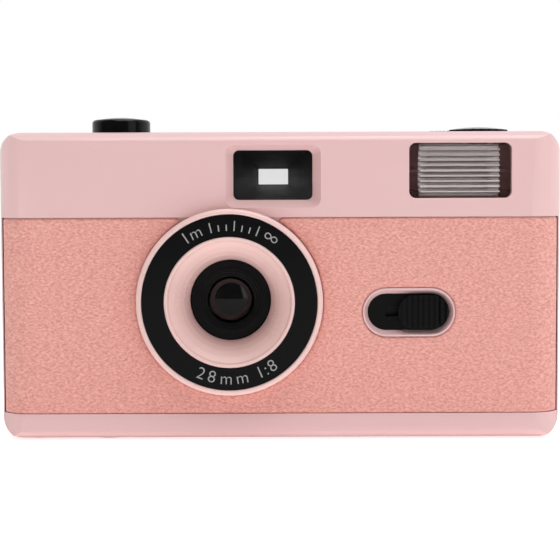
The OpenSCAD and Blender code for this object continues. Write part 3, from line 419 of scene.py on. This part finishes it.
def make_skin():
    """A grid cut to the outline, embossed, wrapped round the casing and tucked in at its edges."""
    tall = skin_high.z - skin_low.z
    middle = (skin_high.z + skin_low.z) / 2
    bm = bmesh.new()
    columns = round(2 * (REACH + SKIN_MARGIN) / SKIN_STEP)
    rows = round((tall + 2 * SKIN_MARGIN) / SKIN_STEP)
    bmesh.ops.create_grid(bm, x_segments=columns, y_segments=rows, size=1)
    bmesh.ops.scale(bm, vec=(REACH + SKIN_MARGIN, tall / 2 + SKIN_MARGIN, 1), verts=bm.verts)
    bmesh.ops.translate(bm, vec=(0, middle, 0), verts=bm.verts)
    outside = [f for f in bm.faces if all(skin_inside(v.co.x, v.co.y) < 0 for v in f.verts)]
    bmesh.ops.delete(bm, geom=outside, context="FACES")
    # Three passes move the rough edge onto the outline, each along the outline's own slope.
    near = 0.01
    for _ in range(3):
        for v in bm.verts:
            d = skin_inside(v.co.x, v.co.y)
            if d < 0 or (v.is_boundary and abs(d) > 0.001):
                slope = Vector((
                    skin_inside(v.co.x + near, v.co.y) - skin_inside(v.co.x - near, v.co.y),
                    skin_inside(v.co.x, v.co.y + near) - skin_inside(v.co.x, v.co.y - near),
                )) / (2 * near)
                if slope.length > 0.01:
                    move = -d * slope / slope.length_squared
                    v.co.x += move.x
                    v.co.y += move.y
    for v in bm.verts:
        u, z = v.co.x, v.co.y
        v.co = skin_place(u, z, emboss(u, z))
    bmesh.ops.recalc_face_normals(bm, faces=bm.faces)
    if sum(f.normal.y for f in bm.faces) > 0:
        bmesh.ops.reverse_faces(bm, faces=bm.faces)
    rim = [e for e in bm.edges if e.is_boundary]
    pulled = bmesh.ops.extrude_edge_only(bm, edges=rim)["geom"]
    for v in (g for g in pulled if isinstance(g, bmesh.types.BMVert)):
        if abs(v.co.x) <= FLAT:
            v.co.y = FRONT + SKIN_TUCK
        else:
            hub_x, hub_y = math.copysign(FLAT, v.co.x), FRONT + PLAN_R
            spoke = Vector((v.co.x - hub_x, v.co.y - hub_y)).normalized() * (PLAN_R - SKIN_TUCK)
            v.co.x, v.co.y = hub_x + spoke.x, hub_y + spoke.y
    shown("leather_wrap", bm, SKIN, "leatherette", smooth=60)


make_skin()


# ---- lens ring, its name plate, the barrel and the lenses: profiles are (radius, y) ----
def make_bezel():
    """The ring round the name plate, and the funnel inside it with its fine turned grooves."""
    plate_y = RING_FRONT + 0.75
    rim = [(18.34, plate_y), (18.34, RING_FRONT + 0.42)]
    rim += arc((18.72, RING_FRONT + 0.42), 0.38, 180, 270, 6)
    rim += arc((RING_R - 0.95, RING_FRONT + 0.95), 0.95, 270, 360, 10)
    rim += [(RING_R, FRONT - 0.03), (16.1, FRONT - 0.03), (16.1, FRONT + 1.8), (11.2, FRONT + 1.8)]
    rim += [(10.1, FRONT + 3.2), (10.1, BARREL_FRONT + 0.5), (8.62, BARREL_FRONT + 0.5)]
    rim += [(8.62, BARREL_FRONT + 0.1)]
    stations = [(8.62, BARREL_FRONT), (8.95, -11.0), (9.6, -12.8), (10.5, -14.4), (11.6, -15.9)]
    stations += [(12.6, -17.0), (13.0, RING_FRONT + 0.25)]
    grooves, groove_depth = 22, 0.035
    funnel = []
    for i in range(grooves * 3 + 1):
        t = i / (grooves * 3) * (len(stations) - 1)
        k = min(int(t), len(stations) - 2)
        f = t - k
        r = stations[k][0] * (1 - f) + stations[k + 1][0] * f
        a = stations[k][1] * (1 - f) + stations[k + 1][1] * f
        funnel.append((r + (groove_depth if i % 3 == 1 else 0.0), a))
    lip = arc((13.26, RING_FRONT + 0.36), 0.36, 180, 360, 10)
    bm = turned(rim + funnel + lip + [(13.6, plate_y)], LENS_AXIS, "y", steps=144)
    # Ring and funnel both take the lighter pink, a painted highlight meant for the rim.
    shown("lens_ring_with_funnel", bm, PINK_RING_PAINTED_LIGHTER, "lens_bezel", smooth=40)


make_bezel()

# Generic figures, each with its angle round the lens: the distance scale above, the lens data below.
FIGURES = [("1", 124), ("m", 115.5), ("∞", 57)]
FIGURES += [("2", -112), ("8", -103.5), ("m", -92.5), ("m", -80.5), ("1", -66.5), (":", -61.5), ("8", -56)]
FIGURE_RADIUS = 15.97  # of the circle that the figures' middles lie on
FIGURE_SIZE = 3.6
TICKS = range(104, 67, -6)
LONG_TICKS = (104, 86, 68)


def make_plate():
    """The black plate in the ring, and the figures and tick marks printed on it."""
    low, high = low_high("name_ring")
    outer = (high.x - low.x) / 2
    profile = [(13.66, high.y), (13.66, low.y + 0.1), (13.76, low.y)]
    profile += [(outer - 0.1, low.y), (outer, low.y + 0.1), (outer, high.y)]
    shown("black_lens_plate", turned(profile, LENS_AXIS, "y"), BLACK_ABS, "name_ring", smooth=30)
    marks = bmesh.new()
    face = low.y - 0.02
    for text, degrees in FIGURES:
        curve = bpy.data.curves.new("figure", "FONT")
        curve.body = text
        curve.size = FIGURE_SIZE
        curve.extrude = 0.02
        curve.offset = -0.035
        curve.align_x = "CENTER"
        curve.align_y = "CENTER"
        curve.resolution_u = 6
        holder = bpy.data.objects.new("figure", curve)
        flat = bpy.data.meshes.new_from_object(holder)
        around = math.radians(degrees)
        # Figures above the lens stand with their feet to it, those below with their heads to it.
        turn = math.radians(degrees - 90 if degrees > 0 else degrees + 90)
        spot = LENS_AXIS + Vector((math.cos(around), 0, math.sin(around))) * FIGURE_RADIUS
        spot.y = face
        upright = Matrix.Rotation(math.radians(90), 4, "X")
        flat.transform(Matrix.Translation(spot) @ Matrix.Rotation(-turn, 4, "Y") @ upright)
        marks.from_mesh(flat)
        bpy.data.meshes.remove(flat)
        bpy.data.objects.remove(holder)
    for degrees in TICKS:
        top = 17.0 if degrees in LONG_TICKS else 16.2
        verts = boxed(marks, (-0.13, face - 0.02, 14.9), (0.13, face + 0.02, top))
        turn = Matrix.Rotation(math.pi / 2 - math.radians(degrees), 3, "Y")
        bmesh.ops.rotate(marks, verts=verts, cent=(0, 0, 0), matrix=turn)
        bmesh.ops.translate(marks, verts=verts, vec=LENS_AXIS)
    piece = shown("lens_plate_figures", marks, PRINT, smooth=30, body="camera_body")


make_plate()


def make_barrel():
    """The barrel, with its small steps towards the lens and a rounded front edge."""
    flange, back = -6.2, barrel_high.y
    profile = [(11, flange), (11, back), (4.2, back), (4.2, -5.7), (5.0, -5.7), (5.0, -8.85), (5.35, -8.95)]
    profile += [(5.4, -9.15), (5.9, -9.2), (5.95, -9.4), (6.4, -9.45)]
    profile += arc((6.62, -9.45), 0.15, 180, 300, 5) + [(7.5, BARREL_FRONT + 0.02)]
    profile += arc((8.1, BARREL_FRONT + 0.4), 0.4, 270, 360, 7) + [(8.5, flange)]
    shown("stepped_lens_barrel", turned(profile, LENS_AXIS, "y"), BLACK_GRAIN, "lens_barrel", smooth=32)


make_barrel()


def make_lenses():
    """The front element bulges forwards, the rear one backwards."""
    radius, steps = 4.9, 16
    rising = [radius * i / steps for i in range(steps + 1)]
    back = low_high("front_lens")[1].y
    rim, sag = 0.6, 1.5
    ball = (radius**2 + sag**2) / (2 * sag)
    dome = [(r, back - rim - sag + ball - math.sqrt(ball**2 - r**2)) for r in rising]
    bm = turned(dome + [(radius, back), (0, back)], LENS_AXIS, "y", steps=96, closed=False)
    shown("front_lens_element", bm, LENS, "front_lens", smooth=40)
    front = low_high("rear_lens")[0].y
    rear_radius, rear_ball, ball_offset = 4.6, 9.0, 7.4
    falling = [radius - r for r in rising]
    dome = [(r, front + math.sqrt(rear_ball**2 - r**2) - ball_offset) for r in falling if r <= rear_radius]
    bm = turned([(0, front), (rear_radius, front)] + dome, LENS_AXIS, "y", steps=96, closed=False)
    shown("rear_lens_element", bm, LENS, "rear_lens", smooth=40)


make_lenses()

# ---- flash: ribbed reflector, window with its prisms, tube with its electrodes ----
RIBS = 9
HALF_MOUTH = 5.0  # half the height of the reflector's mouth
CHEEK = 2.0  # width of its slanting ends
# One rib as (part of its pitch, height): a gentle rise, then a steep fall.
RIB = ((0.0, 0.0), (0.12, 0.1), (0.5, 0.3), (0.62, 0.33), (0.74, 0.26), (0.94, 0.02))


def make_reflector(middle):
    """A trough pressed with lengthwise ribs, with slanting cheeks and a flat lip above and below."""
    low, high = low_high("flash_reflector")
    left, right, mouth = low.x + 0.3, high.x - 0.3, high.y - 6.9
    rows = [(mouth, middle - HALF_MOUTH - 0.75)]
    for i in range(RIBS):
        for across, proud in RIB:
            t = -1 + 2 * i / RIBS + across * 2 / RIBS
            rows.append((high.y - 0.9 - 6.0 * abs(t) ** 2.2 - proud, middle + HALF_MOUTH * t))
    rows += [(mouth, middle + HALF_MOUTH), (mouth, middle + HALF_MOUTH + 0.65)]
    bm = bmesh.new()
    rings = []
    for x, lift in ((left, 1.0), (left + CHEEK, 0.0), (right - CHEEK, 0.0), (right, 1.0)):
        rings.append([bm.verts.new((x, y + (mouth - y) * 0.92 * lift, z)) for y, z in rows])
    for a, b in zip(rings, rings[1:]):
        pairs = [pair for ring in (a, b) for pair in zip(ring, ring[1:])]
        bmesh.ops.bridge_loops(bm, edges=[bm.edges.get(pair) or bm.edges.new(pair) for pair in pairs])
    bmesh.ops.recalc_face_normals(bm, faces=bm.faces)
    # Its finish paints highlights along the ribs and shade between them.
    piece = shown("flash_reflector_trough", bm, MIRROR, "flash_reflector", smooth=25)
    wall = piece.modifiers.new("wall", "SOLIDIFY")
    wall.thickness = 0.25 * MM
    wall.offset = -1.0
    return left, right


def make_window(left, right, middle):
    """The pane, and behind it the prisms as slanting blades as wide as the reflector."""
    low, high = low_high("flash_window")
    pane = bmesh.new()
    boxed(pane, (low.x + 0.35, low.y, low.z + 0.45), (high.x - 0.35, low.y + 0.8, high.z - 0.2))
    shown("flash_window_pane", pane, WINDOW, "flash_window", bevel=0.3, segments=3)
    # The blades are near-white though the prisms are clear: a painted highlight.
    prisms = bmesh.new()
    tilt = Matrix.Rotation(math.radians(55), 3, "X")
    for i in range(-4, 5):
        wide = 0.36 if i % 3 else 0.5
        verts = boxed(prisms, (left, -wide / 2, -0.05), (right, wide / 2, 0.05))
        bmesh.ops.rotate(prisms, verts=verts, cent=(0, 0, 0), matrix=tilt)
        bmesh.ops.translate(prisms, verts=verts, vec=(0, low.y + 1.15, middle + i * RIB_PITCH))
    piece = shown("flash_window_prisms", prisms, PRISM_PAINTED_WHITE, body="camera_body")


def make_tube():
    """The glass tube with its shouldered ends, and an electrode in each of them."""
    low, high = low_high("xenon_tube")
    centre = (low + high) / 2
    glass = [(0, low.x + 1.2), (0.75, low.x + 1.2), (1.05, low.x + 1.6)]
    glass += [(1.05, high.x - 1.6), (0.75, high.x - 1.2), (0, high.x - 1.2)]
    bm = turned(glass, centre, "x", steps=32, closed=False)
    # The tube glass shares the pane's finish, with its painted shade tint.
    shown("flash_tube_glass", bm, WINDOW, "xenon_tube", smooth=40)
    length, radius = 3.2, 0.4
    wire = bmesh.new()
    for a, b in ((low.x, low.x + length), (high.x - length, high.x)):
        merge(wire, turned([(0, a), (radius, a), (radius, b), (0, b)], centre, "x", steps=16, closed=False))
    piece = shown("flash_tube_electrodes", wire, ZINC, body="camera_body")


def make_flash():
    """Reflector, window and tube, the first two on one middle height."""
    low, high = low_high("flash_reflector")
    middle = (low.z + high.z) / 2
    left, right = make_reflector(middle)
    make_window(left, right, middle)
    make_tube()


make_flash()


# ---- controls ----
def make_button():
    """A crowned button with a rounded shoulder, a skirt that holds it in, and a stem."""
    low, high = low_high("shutter_button")
    radius, shoulder_r, crown = 6.27, 0.75, 26.0
    top = [(0, high.z)]
    for i in range(1, 13):
        r = (radius - shoulder_r) * i / 12
        top.append((r, high.z - crown + math.sqrt(crown**2 - r**2)))
    top += arc((radius - shoulder_r, top[-1][1] - 0.68), shoulder_r, 80, 0, 8)
    side = [(radius, 62.5), (7.0, 62.5), (7.0, 61.9), (4.6, 61.9), (4.6, 65.5), (1.8, 65.5)]
    side += [(1.8, low.z), (0, low.z)]
    bm = turned(top + side, (low + high) / 2, "z", closed=False)
    shown("crowned_shutter_button", bm, BLACK_ABS, "shutter_button", smooth=40)


make_button()

# ---- pieces that keep their solid's shape, each with the real radius of its edges in mm ----
for node, finish, bevel in (
    ("front_cover", PINK_ABS, 0.25), ("rear_cover", PINK_ABS, 0.2), ("back_door", PINK_ABS, 0.25),
    ("battery_door", PINK_ABS, 0.2), ("flash_switch_knob", BLACK_ABS, 0.14),
    ("switch_guide", BLACK_GRAIN, 0.1), ("finder_tube", BLACK_PC, 0.0), ("eyepiece_frame", BLACK_ABS, 0.25),
    ("finder_front_lens", ACRYLIC, 0.05), ("finder_eye_lens", FINDER, 0.05), ("counter_window", ACRYLIC, 0.1),
    ("advance_wheel", BLACK_ABS, 0.15), ("rewind_disc", BLACK_ABS, 0.12), ("rewind_lever", BLACK_ABS, 0.1),
    ("rewind_fork", BLACK_GRAIN, 0.15), ("takeup_spool", BLACK_GRAIN, 0.15), ("chassis", BLACK_PC, 0.12),
    ("shutter_cover", BLACK_PC, 0.12), ("door_latch", BLACK_ABS, 0.15), ("film_window", SMOKED, 0.12),
    ("pressure_plate", ENAMEL, 0.1), ("pressure_spring", SPRING, 0.05), ("battery", CELL, 0.25),
    ("flash_board", BOARD, 0.05), ("flash_capacitor", SLEEVE, 0.3), ("flash_transformer", FERRITE, 0.12),
    ("trigger_coil", COPPER, 0.12), ("ready_lamp", AMBER, 0.2), ("light_seals", FOAM, 0.2),
    ("rewind_button", BLACK_GRAIN, 0.12), ("mechanism_plate", ENAMEL, 0.08), ("release_lever", ZINC, 0.08),
    ("sprocket", BLACK_GRAIN, 0.1), ("counter_disc", DIAL, 0.05), ("case_screws", ZINC, 0.08),
    ("small_screws", ZINC, 0.06), ("dark_box", BLACK_PC, 0.1), ("strap_bar", ZINC, 0.1),
    ("hinge_pin", ZINC, 0.1),
):
    refined(node, finish, bevel)

# ---- inner pieces whose solid is right as it is: only their finish is new ----
for node, finish in (
    ("lens_spacer", BLACK_PC), ("shutter_blade", ENAMEL), ("blade_spring", SPRING),
    ("shutter_striker", ZINC), ("switch_contact", BRASS), ("battery_contact_plus", ZINC),
    ("battery_contact_minus", SPRING), ("button_spring", SPRING), ("ratchet_pawl", ZINC),
    ("rewind_clip", SPRING), ("rewind_button_spring", SPRING),
):
    solid = frame["nodes"][node]
    solid.data.materials.clear()
    solid.data.materials.append(finish)

# ---- studio ----
scene = bpy.context.scene
scene.view_settings.view_transform = "Standard"
floor_mesh = bmesh.new()
bmesh.ops.create_grid(floor_mesh, x_segments=1, y_segments=1, size=3)
floor_data = bpy.data.meshes.new("floor")
floor_mesh.to_mesh(floor_data)
floor_mesh.free()
floor = bpy.data.objects.new("floor", floor_data)
floor.location.z = -0.0002
scene.collection.objects.link(floor)
sweep_white = moulded(
    "lit_white_sweep", "#ffffff", "#fdfdfd", (0.6, 0.7), 2.0, 0.01, 300.0,
    Emission_Color=linear("#ffffff"), Emission_Strength=0.46,
)
floor_data.materials.append(sweep_white)
# The sweep is dimmer in reflections, and clear when it is looked at from below.
sweep = sweep_white.node_tree
dim = add(sweep, "BsdfDiffuse", {"Color": linear("#a2a2a2")})
split = add(sweep, "MixShader", {}, {
    0: add(sweep, "LightPath").outputs["Is Glossy Ray"],
    1: sweep.nodes["Principled BSDF"].outputs["BSDF"],
    2: dim.outputs["BSDF"],
})
under = add(sweep, "MixShader", {}, {
    0: add(sweep, "NewGeometry").outputs["Backfacing"],
    1: split.outputs["Shader"],
    2: add(sweep, "BsdfTransparent").outputs["BSDF"],
})
sweep.links.new(under.outputs["Shader"], sweep.nodes["Material Output"].inputs["Surface"])

world = bpy.data.worlds.new("white room")
scene.world = world
world.use_nodes = True
room = world.node_tree
direction = add(room, "TexCoord").outputs["Generated"]
depth = add(room, "SeparateXYZ", {}, {"Vector": direction})
# The room's light is strong behind the object and dim on the camera's side; seen directly, it is white.
glow = add(
    room, "MapRange", {"From Min": -0.3, "From Max": 0.15, "To Min": 0.07, "To Max": 0.9},
    {"Value": depth.outputs["Y"]},
)
seen = add(room, "LightPath").outputs["Is Camera Ray"]
level = add(room, "Math", {}, {0: glow.outputs["Result"], 1: seen}, operation="MAXIMUM")
room.links.new(level.outputs["Value"], room.nodes["Background"].inputs["Strength"])
room.nodes["Background"].inputs["Color"].default_value = (1, 1, 1, 1)


def softbox(name, spot, aim, width, height, watts):
    """A rectangular light at spot, turned towards aim, in metres and watts."""
    light = bpy.data.lights.new(name, "AREA")
    light.shape = "RECTANGLE"
    light.size, light.size_y, light.energy = width, height, watts
    lamp = bpy.data.objects.new(name, light)
    lamp.location = spot
    lamp.rotation_euler = (Vector(aim) - Vector(spot)).to_track_quat("-Z", "Y").to_euler()
    scene.collection.objects.link(lamp)


softbox("overhead softbox", (0.1, -0.2, 0.88), (0, -0.02, 0.04), 0.8, 0.5, 5.3)
softbox("right softbox", (0.62, -0.55, 0.35), (0, 0, 0.03), 0.5, 0.7, 0.95)
softbox("left softbox", (-0.62, -0.55, 0.35), (0, 0, 0.03), 0.5, 0.7, 0.06)

camera_data = bpy.data.cameras.new("camera")
camera_data.sensor_width = 36
camera_data.lens = 92.3
camera = bpy.data.objects.new("camera", camera_data)
camera.location = (0, -0.3152, 0.0502)
camera.rotation_euler = (math.radians(86.81), math.radians(0.2), 0)
scene.collection.objects.link(camera)
scene.camera = camera

bpy.context.view_layer.update()
